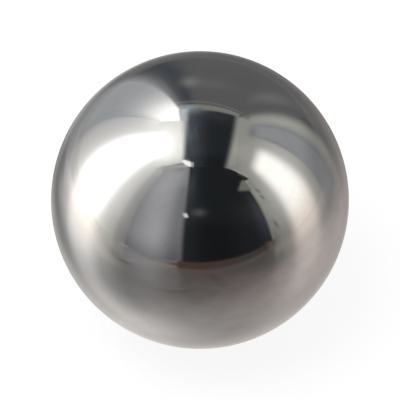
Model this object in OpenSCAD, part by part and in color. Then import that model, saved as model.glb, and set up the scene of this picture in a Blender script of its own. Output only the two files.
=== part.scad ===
// Steel ball: one solid sphere, ground and lapped all over.
// Its centre is the origin, and +Z is up when it lies on a level surface.

/* [Ball] */
// Diameter of the finished ball, over any two opposite points
ball_diameter = 50; // [5:0.5:150]

/* [Hidden] */

// Facets round the ball wherever the sphere is shown as a mesh
$fn = 200;

// The whole part: a true sphere with no flat, hole or seam
module ball() {
    color("silver")
        sphere(d = ball_diameter);
}

ball();
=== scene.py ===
"""Mirror-polished steel ball. All lengths are metres in the part's own frame, with its origin at the centre.

A polished ball shows little but its surroundings, so this script has two halves: the steel's finish, and the
light tent that the ball lies in. The tent is a closed box of stage panels that only reflected rays see. Its
size, 60 cm, is assumed, and so is what its faces show beyond what the ball mirrors."""

import math

import bpy
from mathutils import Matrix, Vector


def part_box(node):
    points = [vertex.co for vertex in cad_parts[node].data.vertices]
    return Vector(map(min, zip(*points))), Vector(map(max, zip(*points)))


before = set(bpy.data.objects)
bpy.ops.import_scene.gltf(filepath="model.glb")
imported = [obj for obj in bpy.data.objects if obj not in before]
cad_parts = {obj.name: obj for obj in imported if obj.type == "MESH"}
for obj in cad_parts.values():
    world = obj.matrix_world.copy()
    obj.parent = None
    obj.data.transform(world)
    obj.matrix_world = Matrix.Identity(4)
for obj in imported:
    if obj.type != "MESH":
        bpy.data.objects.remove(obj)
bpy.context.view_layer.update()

# ---------------------------------------------------------------- driving sizes

BALL_LOW, BALL_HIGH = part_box("ball")
BALL_RADIUS = (BALL_HIGH.z - BALL_LOW.z) / 2
FLOOR_Z = BALL_LOW.z

# Camera: straight in front of the ball and looking down on it, with the ball in the middle of the frame
CAMERA_ELEVATION = math.radians(45)
CAMERA_DISTANCE = 30 * BALL_RADIUS
SENSOR_WIDTH_MM = 36
CLIP_NEAR = 0.01
CLIP_FAR = 10
FRAME_WIDTH_PX = 400
BALL_RADIUS_PX = 149

# Light tent: white cloth, open in front on the right and along a slot in its roof
TENT_LEFT_X = -0.30
TENT_RIGHT_X = 0.30
TENT_FRONT_Y = -0.22
TENT_BACK_Y = 0.33
TENT_ROOF_Z = 0.60

# The tent's floor sheet: its blotches in cells per metre and as a share of its light, and how it mirrors
SHEET_BLOTCH_SCALE = 70
SHEET_BLOTCH_SHARE = 0.18
SHEET_ROUGHNESS = 0.27
MIRRORED_STRAIGHT_DOWN = 0.1
MIRRORED_AT_A_SLANT = 0.9
SLANT_POWER = 2.3
MIRRORED_AT_GRAZING = 0.15
GRAZING_FROM = 0.64
GRAZING_TO = 0.85

# The pale floor that the camera sees lies just under the tent's own floor.
STAGE_HALF_WIDTH = 3.0
STAGE_DROP = 0.0002

# Light of the surroundings on the object, and what rays that see the background find: white round the ball,
# and a little less far from it, so that the white edges of the ball stand out in low views
WORLD_LIGHT = 0.6
FAR_WHITE = 0.80
WHITE_RADIUS = 0.12
FAR_RADIUS = 0.28
FLOOR_COLOUR = 0.18
FLOOR_GLOW = 0.86

# Soft lamp above the ball on the left, for the shadow on the pale floor
LAMP_PLACE = (-0.3, -0.2, 0.9)
LAMP_WIDTH = 0.6
LAMP_WATTS = 4.0

# Steel: its colour and roughness where it is clean, and how far haze and lapping marks roughen and dull it
STEEL_COLOUR = (0.58, 0.575, 0.565)
CLEAN_BRIGHTNESS = 1.01
CLEAN_ROUGHNESS = 0.04
HAZE_ROUGHNESS = 0.02
MARK_ROUGHNESS = 0.035
HAZE_DULLING = 0.02
MARK_DULLING = 0.02

# Scales of the steel's noise in cells per metre, and the noise values between which each mask fades in
LAPPING_AXES = ((1, 0.2, 0.5), (-0.4, 1, 0.3), (0.3, -0.6, 1))
RING_SCALE = 1300
RING_FADE = (0.60, 0.70)
RING_GAP_SCALE = 90
RING_GAP_FADE = (0.46, 0.60)
HAZE_SCALE = 55
HAZE_FADE = (0.42, 0.72)

# Corners of the ball's mesh that lie this close together are one point
WELD_DISTANCE = 1e-6

# Noise values between which streaks in the tent fade in
STREAK_FADE = (0.40, 0.65)

# Spread of a pool of light that is even in one direction
EVEN = math.inf


# ---------------------------------------------------------------- node helpers


class Nodes:
    """A short way to write one node tree."""

    def __init__(self, tree):
        self.tree = tree
        tree.nodes.clear()

    def add(self, kind, **settings):
        node = self.tree.nodes.new(kind)
        for name, value in settings.items():
            setattr(node, name, value)
        return node

    def join(self, source, target):
        self.tree.links.new(source, target)

    def feed(self, target, value):
        """Links a socket to the target, or sets the target to a plain value."""
        if isinstance(value, bpy.types.NodeSocket):
            self.join(value, target)
        else:
            target.default_value = value

    def math(self, operation, *values, clamp=False):
        node = self.add("ShaderNodeMath", operation=operation, use_clamp=clamp)
        for socket, value in zip(node.inputs, values):
            self.feed(socket, value)
        return node.outputs[0]

    def vector(self, operation, *values):
        node = self.add("ShaderNodeVectorMath", operation=operation)
        for socket, value in zip(node.inputs, values):
            self.feed(socket, value)
        return node.outputs["Value" if operation in ("DOT_PRODUCT", "LENGTH") else "Vector"]

    def scaled(self, vector, amount):
        node = self.add("ShaderNodeVectorMath", operation="SCALE")
        self.feed(node.inputs["Vector"], vector)
        self.feed(node.inputs["Scale"], amount)
        return node.outputs["Vector"]

    def noise(self, place, scale, dimensions="3D", detail=2):
        """Noise from 0 to 1, mostly near its middle; place is a number in 1D and a point in 3D."""
        node = self.add("ShaderNodeTexNoise", noise_dimensions=dimensions)
        self.join(place, node.inputs["W" if dimensions == "1D" else "Vector"])
        node.inputs["Scale"].default_value = scale
        node.inputs["Detail"].default_value = detail
        return node.outputs[0]

    def ramp(self, value, start, end):
        """0 up to start, 1 from end on, and a smooth rise in between."""
        node = self.add("ShaderNodeMapRange", interpolation_type="SMOOTHSTEP")
        for name, number in (("Value", value), ("From Min", start), ("From Max", end)):
            self.feed(node.inputs[name], number)
        return node.outputs["Result"]


def new_material(name):
    material = bpy.data.materials.new(name)
    material.use_nodes = True
    return material, Nodes(material.node_tree)


# ---------------------------------------------------------------- the ball


def lapping_marks(n, place):
    """Mask: broken rings round three axes, mostly 0.15 to 0.5 mm wide, as lapping plates leave on a ball."""
    marks = []
    for axis in LAPPING_AXES:
        along = n.vector("DOT_PRODUCT", place, Vector(axis).normalized())
        rings = n.noise(along, RING_SCALE, dimensions="1D", detail=0)
        # Each axis has a noise of its own scale, so that the gaps don't fall together
        gaps = n.noise(n.scaled(place, 1 + len(marks)), RING_GAP_SCALE)
        marks.append(n.math("MULTIPLY", n.ramp(rings, *RING_FADE), n.ramp(gaps, *RING_GAP_FADE)))
    return n.math("MAXIMUM", n.math("MAXIMUM", marks[0], marks[1]), marks[2])


def polished_steel():
    """Mirror-polished chrome steel, with lapping marks and the faint haze that handling leaves."""
    material, n = new_material("polished_steel")
    place = n.add("ShaderNodeTexCoord").outputs["Object"]
    marks = lapping_marks(n, place)
    haze = n.ramp(n.noise(place, HAZE_SCALE, detail=4), *HAZE_FADE)
    roughness = n.math("MULTIPLY_ADD", haze, HAZE_ROUGHNESS, CLEAN_ROUGHNESS)
    roughness = n.math("MULTIPLY_ADD", marks, MARK_ROUGHNESS, roughness)
    dulled = n.math("MULTIPLY_ADD", marks, MARK_DULLING, n.math("MULTIPLY", haze, HAZE_DULLING))
    colour = n.scaled(STEEL_COLOUR, n.math("SUBTRACT", CLEAN_BRIGHTNESS, dulled))
    shader = n.add("ShaderNodeBsdfPrincipled")
    n.join(colour, shader.inputs["Base Color"])
    n.join(roughness, shader.inputs["Roughness"])
    shader.inputs["Metallic"].default_value = 1
    out = n.add("ShaderNodeOutputMaterial")
    n.join(shader.outputs[0], out.inputs["Surface"])
    return material


def exact_normals():
    """A geometry node group that gives a mesh centred on the origin the smooth normals of a true sphere."""
    group = bpy.data.node_groups.new("exact_normals", "GeometryNodeTree")
    group.interface.new_socket("Geometry", in_out="INPUT", socket_type="NodeSocketGeometry")
    group.interface.new_socket("Geometry", in_out="OUTPUT", socket_type="NodeSocketGeometry")
    n = Nodes(group)
    start = n.add("NodeGroupInput")
    end = n.add("NodeGroupOutput")
    merged = n.add("GeometryNodeMergeByDistance")
    merged.inputs["Distance"].default_value = WELD_DISTANCE
    smooth = n.add("GeometryNodeSetShadeSmooth")
    normals = n.add("GeometryNodeSetMeshNormal", mode="FREE")
    outward = n.vector("NORMALIZE", n.add("GeometryNodeInputPosition").outputs[0])
    n.join(start.outputs[0], merged.inputs["Geometry"])
    n.join(merged.outputs[0], smooth.inputs["Geometry"])
    n.join(smooth.outputs[0], normals.inputs["Mesh"])
    n.join(outward, normals.inputs["Custom Normal"])
    n.join(normals.outputs[0], end.inputs[0])
    return group


def finish_ball():
    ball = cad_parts["ball"]
    ball.data.materials[0] = polished_steel()
    ball.modifiers.new("exact_normals", "NODES").node_group = exact_normals()


# ---------------------------------------------------------------- painting the tent's faces


def rgb(light):
    """A light as red, green and blue; a single number is a grey."""
    return light if isinstance(light, tuple) else (light, light, light)


class Face:
    """The light of one face of the tent, painted in soft-edged layers over an even base.

    Its points are (u, v): metres along the two axes of the part that the face lies in. A mask is 1 where a
    layer shows and 0 where it doesn't. A light, and the share that a layer takes away, is an (r, g, b) or a
    single number for a grey."""

    def __init__(self, name, axes, base):
        self.material, self.n = new_material(name)
        n = self.n
        place = n.add("ShaderNodeSeparateXYZ")
        n.join(n.add("ShaderNodeTexCoord").outputs["Object"], place.inputs[0])
        flat = n.add("ShaderNodeCombineXYZ")
        for axis, socket in zip(axes, flat.inputs):
            n.join(place.outputs[axis], socket)
        self.place = flat.outputs[0]
        self.start(base)

    def start(self, base):
        """Starts again from an even base."""
        even = self.n.add("ShaderNodeCombineXYZ")
        for socket, value in zip(even.inputs, rgb(base)):
            socket.default_value = value
        self.light = even.outputs[0]

    def across(self, a, b):
        """How far the shaded point and the line from a to b lie from the origin, towards the line's left."""
        left = Vector((a[1] - b[1], b[0] - a[0])).normalized()
        return self.n.vector("DOT_PRODUCT", self.place, left.to_3d()), left.dot(a)

    # ---- masks

    def past(self, a, b, soft):
        """Mask: the left-hand side of the line from a to b, with an edge that is soft metres wide."""
        point, edge = self.across(a, b)
        return self.n.ramp(point, edge - soft / 2, edge + soft / 2)

    def above(self, v, soft):
        return self.past((0, v), (1, v), soft)

    def below(self, v, soft):
        return self.past((1, v), (0, v), soft)

    def before(self, u, soft):
        return self.past((u, 0), (u, 1), soft)

    def beyond(self, u, soft):
        return self.past((u, 1), (u, 0), soft)

    def patch(self, corners, soft):
        """Mask: a convex shape, whose corners run counter-clockwise in (u, v)."""
        following = corners[1:] + corners[:1]
        return self.all_of(*(self.past(a, b, soft) for a, b in zip(corners, following)))

    def line(self, a, b, width):
        """Mask: a thin soft line through a and b."""
        point, middle = self.across(a, b)
        off = self.n.math("DIVIDE", self.n.math("SUBTRACT", point, middle), width)
        return self.n.math("EXPONENT", self.n.math("MULTIPLY", self.n.math("MULTIPLY", off, off), -1))

    def pool(self, centre, spread, sharpness=1):
        """Mask: a soft round pool, exp(-(distance in spreads squared) ** sharpness)."""
        n = self.n
        away = n.vector("SUBTRACT", self.place, (centre[0], centre[1], 0))
        away = n.vector("MULTIPLY", away, (1 / spread[0], 1 / spread[1], 0))
        squared = n.vector("DOT_PRODUCT", away, away)
        if sharpness != 1:
            squared = n.math("POWER", squared, sharpness)
        return n.math("EXPONENT", n.math("MULTIPLY", squared, -1))

    def streaks(self, scale):
        """Mask: soft streaks, with scale[0] and scale[1] of them to a metre along u and v."""
        stretched = self.n.vector("MULTIPLY", self.place, (*scale, 0))
        return self.n.ramp(self.n.noise(stretched, 1), *STREAK_FADE)

    def all_of(self, *masks):
        whole = masks[0]
        for mask in masks[1:]:
            whole = self.n.math("MULTIPLY", whole, mask)
        return whole

    # ---- layers

    def shine(self, light, mask):
        """Adds light, or takes it away where it is below 0."""
        self.light = self.n.vector("ADD", self.light, self.n.scaled(rgb(light), mask))

    def cover(self, light, mask):
        """Puts a light in the place of what is there."""
        change = self.n.vector("SUBTRACT", rgb(light), self.light)
        self.light = self.n.vector("ADD", self.light, self.n.scaled(change, mask))

    def dim(self, share, mask):
        """Takes a share of the light away, channel by channel."""
        taken = self.n.vector("MULTIPLY", self.light, self.n.scaled(rgb(share), mask))
        self.light = self.n.vector("SUBTRACT", self.light, taken)

    def pools(self, layer, rows, within=()):
        """Lays a pool on the face for each row of strength, centre and spread, inside the masks of within."""
        for strength, centre, spread in rows:
            layer(strength, self.all_of(*within, self.pool(centre, spread)))

    def mottle(self, scale, share):
        """Makes the light uneven by a share, in blotches of scale cells per metre, as crumpled cloth does."""
        blotches = self.n.noise(self.place, scale)
        self.light = self.n.scaled(self.light, self.n.math("MULTIPLY_ADD", blotches, 2 * share, 1 - share))

    # ---- finished materials

    def glowing(self):
        """The finished material of a face that only gives off its own light."""
        light = self.n.add("ShaderNodeEmission")
        self.n.join(self.light, light.inputs["Color"])
        return self.finished(light.outputs[0])

    def finished(self, shader):
        out = self.n.add("ShaderNodeOutputMaterial")
        self.n.join(shader, out.inputs["Surface"])
        self.material.cycles.emission_sampling = "NONE"
        return self.material


# ---------------------------------------------------------------- the tent's walls


def left_wall():
    """White cloth with a large soft lamp close behind its middle."""
    wall = Face("left_wall", "YZ", 0.50)
    # lamp, fading towards the floor, and its glow in the cloth
    lamp = wall.all_of(wall.pool((0.026, 0), (0.085, EVEN), sharpness=2), wall.above(0, 0.17))
    wall.shine((2.4, 2.37, 2.3), lamp)
    wall.pools(wall.shine, (
        ((1.15, 1.15, 1.12), (0.022, 0), (0.155, EVEN)),
        (0.65, (-0.03, 0.62), (0.17, 0.17)),
        (0.15, (0.178, 0.44), (0.045, 0.17)),
        (0.06, (0.225, 0.10), (0.03, 0.20)),
    ))
    # cooler cloth beyond the seam near the back
    wall.cover((0.46, 0.49, 0.52), wall.past((0.242, 0.5), (0.274, 0), 0.012))
    seam = wall.line((0.272, 0), (0.240, 0.5), 0.006)
    wall.dim(0.3, wall.all_of(seam, wall.pool((0.25, 0.32), (EVEN, 0.14))))
    wall.shine((1.34, 1.31, 1.27), wall.pool((0.30, 0.62), (0.1, 0.27)))
    wall.dim(0.1, wall.pool((0.225, 0.58), (0.035, 0.05)))
    # painted shade at the front, along a crease, in the corner and along the floor
    wall.dim(0.15, wall.past((-0.156, 0), (-0.164, 0.55), 0.026))
    crease = wall.line((-0.150, 0.44), (-0.198, 0.60), 0.012)
    wall.dim(0.17, wall.all_of(crease, wall.above(0.44, 0.05)))
    wall.pools(wall.dim, (
        (0.16, (-0.21, 0.14), (0.05, 0.16)),
        ((0.33, 0.33, 0.35), (-0.2, FLOOR_Z), (0.12, 0.09)),
        ((0, 0.025, 0.06), (0, FLOOR_Z), (EVEN, 0.03)),
    ))
    corner = wall.patch([(-0.25, 0.51), (-0.184, 0.525), (-0.192, 0.64), (-0.25, 0.64)], 0.02)
    wall.cover((0.57, 0.57, 0.56), corner)
    return wall.glowing()


def back_wall():
    """Grey cloth in shade, with a strip of lit cloth on its left and a bound rim along its top."""
    wall = Face("back_wall", "XZ", (0.155, 0.155, 0.162))
    wall.dim((0.45, 0.38, 0.32), wall.pool((-0.068, 0), (0.033, EVEN)))
    wall.pools(wall.shine, (
        ((0.13, 0.123, 0.117), (-0.036, 0.222), (0.03, 0.05)),
        (0.075, (0.232, 0.15), (0.038, 0.13)),
        (0.03, (0.04, 0.24), (0.08, 0.05)),
    ))
    wall.cover((0.255, 0.255, 0.24), wall.line((-0.02, 0.474), (0.19, 0.513), 0.009))
    wall.cover((0.31, 0.31, 0.29), wall.past((0.0, 0.529), (0.3, 0.572), 0.015))
    wall.pools(wall.shine, (
        ((0.16, 0.21, 0.28), (-0.10, 0.60), (0.055, 0.09)),
        ((0.13, 0.14, 0.15), (-0.129, 0), (0.016, EVEN)),
    ))
    # painted light along a fold
    fold = wall.line((-0.108, 0.09), (-0.117, 0.30), 0.006)
    wall.shine((0.035, 0.037, 0.04), wall.all_of(fold, wall.pool((0, 0.19), (EVEN, 0.10))))
    # lit strip
    strip = wall.past((-0.134, 0), (-0.149, 0.58), 0.028)
    wall.cover((0.48, 0.50, 0.525), strip)
    wall.shine((1.45, 1.41, 1.35), wall.all_of(strip, wall.pool((-0.19, 0.62), (0.25, 0.27))))
    return wall.glowing()


def right_lamp(wall):
    """A narrow lamp behind the cloth, and its glow."""
    lamp = wall.all_of(
        wall.pool((-0.044, 0), (0.070, EVEN), sharpness=2),
        wall.past((0.05, 0.335), (-0.12, 0.365), 0.12))
    wall.shine((1.13, 1.09, 1.05), lamp)
    wall.pools(wall.shine, (
        ((0.26, 0.26, 0.25), (-0.03, 0.19), (0.115, 0.22)),
        (0.09, (0.064, 0.18), (0.022, 0.13)),
        (0.07, (-0.147, 0.17), (0.02, 0.09)),
        (0.12, (0.056, -0.01), (0.022, 0.04)),
    ))


def right_window(wall):
    """A dull window with a pointed top, and the cloth round it."""
    corners = [
        (0.080, -0.1), (0.188, -0.1), (0.198, 0.38), (0.176, 0.448),
        (0.132, 0.494), (0.092, 0.36), (0.076, 0.11)]
    window = wall.patch(corners, 0.010)
    wall.cover((0.42, 0.43, 0.455), window)
    wall.dim(0.12, wall.all_of(window, wall.past((0.175, 0.4), (0.165, 0), 0.02)))
    hem = wall.line((0.082, 0.1), (0.098, 0.36), 0.010)
    wall.dim(0.14, wall.all_of(window, hem, wall.pool((0, 0.27), (EVEN, 0.13))))
    wall.dim(0.3, wall.pool((0.130, 0.42), (0.045, 0.05)))
    wall.shine(0.12, wall.pool((0.226, 0.17), (0.026, 0.20)))
    # dark cloth past the back edge
    behind = wall.all_of(wall.beyond(0.276, 0.07), wall.past((0.31, 0.62), (0.25, 0.46), 0.03))
    wall.cover(0.17, behind)
    wall.dim(0.35, wall.pool((0.266, 0.465), (0.018, 0.035)))


def right_front_edge(wall):
    """The dark gap at the front, under the edge of the roof, and three slanting marks."""
    hem = wall.line((-0.176, 0.37), (-0.212, 0.53), 0.008)
    wall.shine(0.06, wall.all_of(hem, wall.above(0.37, 0.05)))
    corners = [(-0.179, 0.36), (-0.194, 0.43), (-0.220, 0.525), (-0.25, 0.60), (-0.25, 0.43), (-0.21, 0.39)]
    wall.cover(0.04, wall.patch(corners, 0.010))
    middle, half_width, half_height = -0.187, 0.010, 0.025
    for height in (0.257, 0.208, 0.053):
        top = (middle - half_width, height + half_height)
        foot = (middle + half_width, height - half_height)
        mark = wall.line(top, foot, 0.007)
        wall.dim(0.55, wall.all_of(mark, wall.pool((middle, height), (0.014, 0.026))))


def right_wall():
    """Greyer cloth with a narrow lamp behind it and a duller window beside the lamp."""
    wall = Face("right_wall", "YZ", (0.43, 0.43, 0.405))
    wall.shine(0.05, wall.pool((-0.03, 0.55), (0.07, 0.12)))
    right_lamp(wall)
    right_window(wall)
    right_front_edge(wall)
    # shade near the front edge, under the roof and along the floor
    wall.pools(wall.dim, (
        (0.2, (-0.197, 0.33), (0.02, 0.05)),
        (0.1, (-0.18, 0.56), (0.05, 0.07)),
        (0.17, (0.14, 0.03), (0.09, 0.05)),
        (0.26, (0, FLOOR_Z), (EVEN, 0.06)),
        ((0, 0.07, 0.12), (-0.04, FLOOR_Z), (0.10, 0.07)),
        (0.36, (TENT_FRONT_Y, FLOOR_Z), (0.035, 0.13)),
    ))
    return wall.glowing()


# ---------------------------------------------------------------- the tent's roof


def roof_slot(top):
    """The room, seen dimly through the slot."""
    top.pools(top.shine, (
        ((0.060, 0.070, 0.085), (-0.07, 0), (0.085, EVEN)),
        ((0.17, 0.19, 0.2), (-0.06, 0.33), (0.1, 0.06)),
        ((0.05, 0.06, 0.07), (-0.078, 0.08), (0.015, 0.09)),
        ((0.02, 0.02, 0.025), (0.14, 0.26), (0.12, 0.08)),
    ))
    top.dim(0.3, top.below(-0.12, 0.1))
    bluish = top.all_of(top.streaks((38, 7)), top.pool((-0.055, 0.08), (0.045, 0.17)))
    top.shine((0.025, 0.035, 0.045), bluish)


def roof_left(top):
    """Lit cloth on the left, with a lamp in its far corner, behind a seam."""
    left = top.all_of(
        top.past((-0.130, -0.15), (-0.100, 0.03), 0.06),
        top.past((-0.103, 0.03), (-0.108, 0.25), 0.09))
    top.cover((1.2, 1.2, 1.14), left)
    top.shine((1.0, 1.0, 0.97), top.all_of(left, top.pool((-0.33, 0.01), (0.160, 0.148))))
    # painted shade towards the front edge
    top.dim(0.24, top.all_of(left, top.below(-0.145, 0.09)))
    beyond_seam = top.past((-0.30, 0.25), (-0.15, 0.205), 0.012)
    top.cover((0.70, 0.75, 0.82), top.all_of(left, beyond_seam))
    top.cover(2.2, top.all_of(beyond_seam, top.past((-0.145, 0.21), (-0.160, 0.33), 0.03)))
    top.shine((0.04, 0.11, 0.18), top.pool((-0.088, 0.315), (0.035, 0.035)))


def roof_right(top):
    """Greyer cloth on the right, and the back rim."""
    right = top.all_of(
        top.past((0.230, -0.02), (0.216, -0.19), 0.075),
        top.past((0.273, 0.26), (0.230, -0.02), 0.085))
    top.cover((0.45, 0.45, 0.42), right)
    top.shine(0.07, top.all_of(right, top.pool((0.3, -0.03), (0.1, 0.08))))
    # painted shade towards the front edge
    top.dim(0.2, top.all_of(right, top.below(-0.19, 0.05)))
    top.cover((0.28, 0.28, 0.27), top.all_of(top.above(0.302, 0.02), top.beyond(0, 0.08)))


def roof_front_edge(top):
    """The flap's hem, with painted shadow along it, and the bright gap beside it."""
    hem = top.all_of(top.past((-0.145, -0.181), (-0.3, -0.187), 0.010), top.before(-0.05, 0.01))
    top.cover((0.56, 0.565, 0.55), hem)
    # painted shadow along the flap's hem
    top.dim(0.34, top.pool((-0.16, -0.188), (0.05, 0.009)))
    corners = [
        (-0.150, -0.160), (-0.114, -0.202), (-0.084, -0.216),
        (-0.071, -0.212), (-0.072, -0.175), (-0.121, -0.154)]
    top.cover(1.6, top.patch(corners, 0.010))


def roof():
    """White cloth on the left, a dark slot for the camera, and greyer cloth on the right."""
    top = Face("roof", "XY", (0.026, 0.030, 0.035))
    roof_slot(top)
    roof_left(top)
    roof_right(top)
    roof_front_edge(top)
    return top.glowing()


# ---------------------------------------------------------------- the tent's front


def front_opening(face):
    """The dark room in front of the tent."""
    face.pools(face.shine, (
        ((0.017, 0.020, 0.023), (-0.04, 0), (0.04, EVEN)),
        (0.012, (0.20, 0.15), (0.07, 0.06)),
        ((0.043, 0.040, 0.055), (0.253, 0.14), (0.037, 0.12)),
    ))
    face.dim(0.36, face.all_of(face.below(0.12, 0.07), face.pool((0, 0), (0.12, EVEN), sharpness=2)))
    face.shine((0.030, 0.030, 0.032), face.pool((-0.043, 0.33), (0.018, 0.13)))


def front_flap(face):
    """A grey flap on the left, with painted shade towards its free edge and the floor, and near its top."""
    corners = [
        (-0.40, -0.10), (-0.054, -0.10), (-0.053, 0.22), (-0.067, 0.45),
        (-0.078, 0.57), (-0.13, 0.64), (-0.40, 0.64)]
    flap = face.patch(corners, 0.030)
    face.cover((0.49, 0.497, 0.528), flap)
    face.pools(face.shine, (
        (0.07, (-0.205, 0.36), (0.06, 0.17)),
        (0.05, (-0.140, 0.07), (0.045, 0.07)),
    ), [flap])
    face.dim(0.28, face.all_of(flap, face.pool((-0.070, 0), (0.045, EVEN))))
    face.dim(0.25, face.all_of(flap, face.pool((-0.060, 0), (0.045, EVEN)), face.below(0.32, 0.07)))
    face.dim(0.32, face.all_of(flap, face.pool((-0.31, 0.08), (0.09, 0.22))))
    face.dim(0.18, face.all_of(flap, face.pool((-0.060, 0), (0.035, EVEN)), face.below(0.07, 0.12)))
    face.pools(face.dim, (
        (0.23, (-0.145, 0.555), (0.05, 0.05)),
        (0.4, (0, FLOOR_Z), (EVEN, 0.05)),
    ), [flap])


def front_curtain(face):
    """The edge of a curtain on the right, its bulge, and the roof's cloth above it."""
    edge = face.patch([(0.288, -0.10), (0.40, -0.10), (0.40, 0.40), (0.279, 0.40)], 0.028)
    face.cover((0.36, 0.36, 0.325), edge)
    bulge = [(0.193, 0.286), (0.30, 0.298), (0.30, 0.41), (0.262, 0.392), (0.225, 0.340)]
    face.cover((0.24, 0.24, 0.21), face.patch(bulge, 0.03))
    face.cover((0.42, 0.42, 0.39), face.past((0.215, 0.634), (0.320, 0.516), 0.015))


def front_floor_edge(face):
    """The floor's rising edge outside the opening, with its red trim."""
    foot = face.all_of(face.past((-0.05, -0.003), (-0.17, -0.022), 0.006), face.before(-0.058, 0.014))
    face.cover((0.29, 0.285, 0.275), foot)
    lip = face.all_of(face.past((0.28, -0.001), (-0.05, -0.005), 0.007), face.beyond(-0.058, 0.014))
    face.cover((0.078, 0.066, 0.057), lip)
    face.cover((0.15, 0.125, 0.105), face.all_of(lip, face.beyond(0.248, 0.02)))
    face.shine((0.06, 0.03, 0.02), face.pool((0.245, 0.002), (0.016, 0.007)))
    trim = face.line((-0.10, -0.0175), (0.06, -0.0125), 0.0068)
    reach = face.pool((-0.014, 0), (0.076, EVEN), sharpness=2)
    face.cover((0.110, 0.056, 0.050), face.all_of(trim, reach))


def front():
    """A grey flap on the left, the dark opening, and the edge of a curtain on the right."""
    face = Face("front", "XZ", (0.019, 0.022, 0.0245))
    front_opening(face)
    front_flap(face)
    front_curtain(face)
    front_floor_edge(face)
    # a small lamp in the room, and its glow
    spot = face.patch([(-0.052, 0.138), (-0.038, 0.139), (-0.045, 0.156), (-0.060, 0.155)], 0.006)
    face.cover(0.95, spot)
    face.shine(0.085, face.pool((-0.003, 0.160), (0.022, 0.015)))
    return face.glowing()


# ---------------------------------------------------------------- the tent's floor


def scattered_light(sheet):
    """The sheet's own light: what the ball and the walls throw on it, which it scatters."""
    sheet.pools(sheet.shine, (
        ((0.102, 0.098, 0.094), (0, 0), (0.14, 0.14)),
        # round the ball's foot
        ((0.50, 0.49, 0.475), (-0.006, 0), (0.033, 0.033)),
        ((0.32, 0.27, 0.263), (0.053, 0.002), (0.035, 0.05)),
        (0.18, (-0.015, -0.022), (0.012, 0.010)),
        (0.06, (-0.009, -0.029), (0.008, 0.007)),
        (-0.05, (0.006, -0.028), (0.010, 0.010)),
        ((-0.07, -0.05, -0.03), (-0.05, -0.02), (0.018, 0.018)),
        (-0.06, (-0.040, 0.006), (0.014, 0.016)),
        (0.06, (0, -0.040), (0.028, 0.014)),
        (0.04, (0.030, -0.018), (0.015, 0.012)),
        (-0.05, (0.068, -0.026), (0.012, 0.014)),
        # in front of it
        ((0.055, 0.032, 0.032), (0.03, -0.075), (0.045, 0.055)),
        (0.03, (0.022, -0.050), (0.018, 0.012)),
        ((0.04, 0.04, 0.05), (-0.070, -0.006), (0.014, 0.018)),
        (-0.105, (-0.060, -0.044), (0.020, 0.018)),
        ((-0.06, -0.05, -0.04), (-0.036, -0.036), (0.010, 0.010)),
        (0.05, (-0.11, -0.19), (0.04, 0.05)),
        (-0.08, (-0.100, -0.065), (0.024, 0.015)),
        (-0.025, (0.02, -0.212), (0.06, 0.022)),
        # light of the walls behind the ball, seen along its rim
        (0.25, (-0.02, 0.075), (0.028, 0.022)),
        (0.12, (-0.036, 0.058), (0.012, 0.010)),
        (0.08, (-0.036, 0.02), (0.012, 0.014)),
        (0.04, (0.05, 0.09), (0.04, 0.04)),
        (0.06, (-0.025, 0.13), (0.025, 0.05)),
        (0.04, (-0.055, 0.19), (0.035, 0.08)),
        (-0.05, (-0.066, 0.056), (0.013, 0.013)),
        (0.05, (-0.078, 0.022), (0.012, 0.018)),
        (-0.12, (-0.074, 0.048), (0.012, 0.013)),
        (0.13, (-0.132, 0.055), (0.026, 0.020)),
        # the left wall's lamp, scattered on both sides of its mirror image
        (0.25, (-0.105, 0.043), (0.045, 0.03)),
        (0.1, (-0.125, 0.105), (0.04, 0.035)),
        (0.23, (-0.100, -0.037), (0.055, 0.022)),
        # the right wall's
        (0.06, (0.16, 0.030), (0.07, 0.04)),
        (-0.045, (0.066, 0.036), (0.014, 0.024)),
        # two small spots of painted light in front of the foot
        ((0.05, 0.035, 0.035), (0.002, -0.037), (0.004, 0.003)),
        ((0.05, 0.035, 0.035), (0.010, -0.031), (0.004, 0.002)),
    ))


def floor_lines(sheet):
    """Painted shade beside the ball and in the sheet's creases, and its light threads: each a soft line that
    fades out at both ends.

    A row has the light, the line's two points and width, and the pool that it shows in: centre, spread and
    sharpness."""
    foot_shade = (-0.055, -0.045, -0.030)
    for light, a, b, width, centre, spread, sharpness in (
            # shade beside the ball, and shade that runs out from the opening's right foot
            (-0.12, (-0.048, 0.010), (-0.060, 0.060), 0.010, (0, 0.034), (EVEN, 0.034), 1),
            (foot_shade, (0.075, -0.060), (0.143, -0.101), 0.011, (0.102, -0.077), (0.042, 0.042), 2),
            # painted shade in creases
            (-0.03, (0.014, -0.20), (0.021, -0.10), 0.006, (0, -0.12), (EVEN, 0.035), 1),
            (-0.04, (-0.034, -0.059), (-0.008, -0.075), 0.003, (-0.02, 0), (0.015, EVEN), 1),
            (-0.07, (-0.094, -0.065), (-0.080, -0.087), 0.004, (-0.087, -0.075), (0.015, 0.015), 1),
            # light threads
            (0.09, (-0.096, -0.05), (-0.099, -0.12), 0.0018, (0, -0.095), (EVEN, 0.04), 2),
            (0.2, (-0.232, -0.158), (-0.262, -0.215), 0.008, (-0.247, -0.187), (0.035, 0.035), 2)):
        sheet.shine(light, sheet.all_of(sheet.line(a, b, width), sheet.pool(centre, spread, sharpness)))


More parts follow.
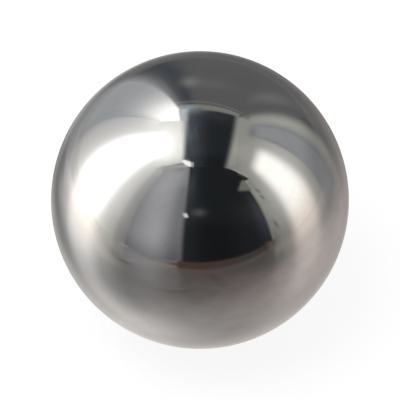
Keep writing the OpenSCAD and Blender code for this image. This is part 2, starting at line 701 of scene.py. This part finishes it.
def mirror_tint_and_shade(sheet):
    """The tint of what the sheet mirrors, and painted shade that dims the left wall's lamp where the sheet
    mirrors it.
    """
    sheet.start((1.01, 0.95, 0.937))
    sheet.cover((0.985, 0.958, 0.94), sheet.before(-0.05, 0.08))
    sheet.cover((0.97, 0.955, 0.96), sheet.above(0.01, 0.06))
    sheet.cover((0.965, 0.96, 0.94), sheet.pool((-0.21, -0.13), (0.10, 0.08)))
    sheet.cover((0.96, 0.965, 0.98), sheet.pool((-0.055, 0.015), (0.030, 0.035)))
    # painted shade: the sheet mirrors the left wall's lamp dimmer, and with less green and blue
    sheet.dim((0, 0.06, 0.09), sheet.pool((-0.15, 0), (0.08, 0.045)))
    sheet.dim(0.07, sheet.pool((-0.20, 0), (0.08, 0.04)))


def mirrored_share(n):
    """How much the sheet mirrors: little straight down, and nearly all of the light at a slant."""
    slant = n.add("ShaderNodeLayerWeight").outputs["Facing"]
    steep = n.math("POWER", slant, SLANT_POWER)
    share = n.math("MULTIPLY_ADD", steep, MIRRORED_AT_A_SLANT, MIRRORED_STRAIGHT_DOWN)
    grazing = n.ramp(slant, GRAZING_FROM, GRAZING_TO)
    return n.math("MULTIPLY_ADD", grazing, MIRRORED_AT_GRAZING, share, clamp=True)


def tent_floor():
    """A satin sheet, which mirrors part of the light, and whose scattered part is painted on it as its own
    glow.
    """
    sheet = Face("tent_floor", "XY", (0.050, 0.048, 0.045))
    scattered_light(sheet)
    floor_lines(sheet)
    sheet.mottle(SHEET_BLOTCH_SCALE, SHEET_BLOTCH_SHARE)
    scattered = sheet.light
    mirror_tint_and_shade(sheet)
    n = sheet.n
    own = n.add("ShaderNodeEmission")
    n.join(scattered, own.inputs["Color"])
    mirrored = n.add("ShaderNodeBsdfGlossy")
    mirrored.inputs["Roughness"].default_value = SHEET_ROUGHNESS
    n.join(n.scaled(sheet.light, mirrored_share(n)), mirrored.inputs["Color"])
    both = n.add("ShaderNodeAddShader")
    n.join(own.outputs[0], both.inputs[0])
    n.join(mirrored.outputs[0], both.inputs[1])
    return sheet.finished(both.outputs[0])


# ---------------------------------------------------------------- building the stage


def flat_piece(name, corners, material):
    mesh = bpy.data.meshes.new(name)
    mesh.from_pydata(corners, [], [range(len(corners))])
    mesh.materials.append(material)
    piece = bpy.data.objects.new(name, mesh)
    bpy.context.scene.collection.objects.link(piece)
    return piece


def build_tent():
    x0, x1 = TENT_LEFT_X, TENT_RIGHT_X
    y0, y1 = TENT_FRONT_Y, TENT_BACK_Y
    z0, z1 = FLOOR_Z, TENT_ROOF_Z
    # Each panel glows with light painted on it: its lamps, lit cloth and painted shade.
    faces = [
        ("tent_left", [(x0, y0, z0), (x0, y1, z0), (x0, y1, z1), (x0, y0, z1)], left_wall()),
        ("tent_right", [(x1, y0, z0), (x1, y1, z0), (x1, y1, z1), (x1, y0, z1)], right_wall()),
        ("tent_front", [(x0, y0, z0), (x1, y0, z0), (x1, y0, z1), (x0, y0, z1)], front()),
        ("tent_back", [(x0, y1, z0), (x1, y1, z0), (x1, y1, z1), (x0, y1, z1)], back_wall()),
        ("tent_roof", [(x0, y0, z1), (x1, y0, z1), (x1, y1, z1), (x0, y1, z1)], roof()),
        ("tent_floor", [(x0, y0, z0), (x1, y0, z0), (x1, y1, z0), (x0, y1, z0)], tent_floor()),
    ]
    for name, corners, material in faces:
        piece = flat_piece(name, corners, material)
        piece.visible_camera = False
        piece.visible_diffuse = False
        piece.visible_shadow = False


def seen_rays(n):
    """1 for camera, glossy and transmission rays, which see the white background, and 0 for the rest."""
    path = n.add("ShaderNodeLightPath")
    seen = n.math("ADD", path.outputs["Is Camera Ray"], path.outputs["Is Glossy Ray"], clamp=True)
    return n.math("ADD", seen, path.outputs["Is Transmission Ray"], clamp=True)


def build_world():
    world = bpy.data.worlds.new("world")
    bpy.context.scene.world = world
    world.use_nodes = True
    n = Nodes(world.node_tree)
    background = n.add("ShaderNodeBackground")
    background.inputs["Color"].default_value = (1, 1, 1, 1)
    strength = n.math("MULTIPLY_ADD", seen_rays(n), FAR_WHITE - WORLD_LIGHT, WORLD_LIGHT)
    n.join(strength, background.inputs["Strength"])
    out = n.add("ShaderNodeOutputWorld")
    n.join(background.outputs[0], out.inputs["Surface"])


def pale_floor():
    """Takes the ball's soft shadow and looks white round it, fading into the backdrop further out."""
    material, n = new_material("pale_floor")
    diffuse = n.add("ShaderNodeBsdfDiffuse")
    diffuse.inputs["Color"].default_value = (FLOOR_COLOUR, FLOOR_COLOUR, FLOOR_COLOUR, 1)
    away = n.vector("LENGTH", n.add("ShaderNodeTexCoord").outputs["Object"])
    far = n.ramp(away, WHITE_RADIUS, FAR_RADIUS)
    glow = n.math("MULTIPLY_ADD", far, FAR_WHITE - 1, FLOOR_GLOW)
    white = n.add("ShaderNodeEmission")
    n.join(n.math("MULTIPLY", glow, seen_rays(n)), white.inputs["Strength"])
    both = n.add("ShaderNodeAddShader")
    n.join(diffuse.outputs[0], both.inputs[0])
    n.join(white.outputs[0], both.inputs[1])
    out = n.add("ShaderNodeOutputMaterial")
    n.join(both.outputs[0], out.inputs["Surface"])
    material.cycles.emission_sampling = "NONE"
    return material


def build_floor():
    w = STAGE_HALF_WIDTH
    z = FLOOR_Z - STAGE_DROP
    flat_piece("pale_floor", [(-w, -w, z), (w, -w, z), (w, w, z), (-w, w, z)], pale_floor())


def build_lamp():
    data = bpy.data.lights.new("key", "AREA")
    data.shape = "DISK"
    data.size = LAMP_WIDTH
    data.energy = LAMP_WATTS
    lamp = bpy.data.objects.new("key", data)
    lamp.location = LAMP_PLACE
    lamp.rotation_euler = (-lamp.location).to_track_quat("-Z", "Y").to_euler()
    lamp.visible_glossy = False
    bpy.context.scene.collection.objects.link(lamp)


def build_camera():
    data = bpy.data.cameras.new("camera")
    camera = bpy.data.objects.new("camera", data)
    back = Vector((0, -math.cos(CAMERA_ELEVATION), math.sin(CAMERA_ELEVATION)))
    camera.location = back * CAMERA_DISTANCE
    camera.rotation_euler = (-back).to_track_quat("-Z", "Y").to_euler()
    # The ball's outline is where the line of sight grazes it
    edge = math.tan(math.asin(BALL_RADIUS / CAMERA_DISTANCE))
    data.sensor_width = SENSOR_WIDTH_MM
    data.lens = data.sensor_width / (edge * FRAME_WIDTH_PX / BALL_RADIUS_PX)
    data.clip_start = CLIP_NEAR
    data.clip_end = CLIP_FAR
    bpy.context.scene.collection.objects.link(camera)
    bpy.context.scene.camera = camera


finish_ball()
build_tent()
build_world()
build_floor()
build_lamp()
build_camera()
bpy.context.scene.view_settings.view_transform = "Standard"
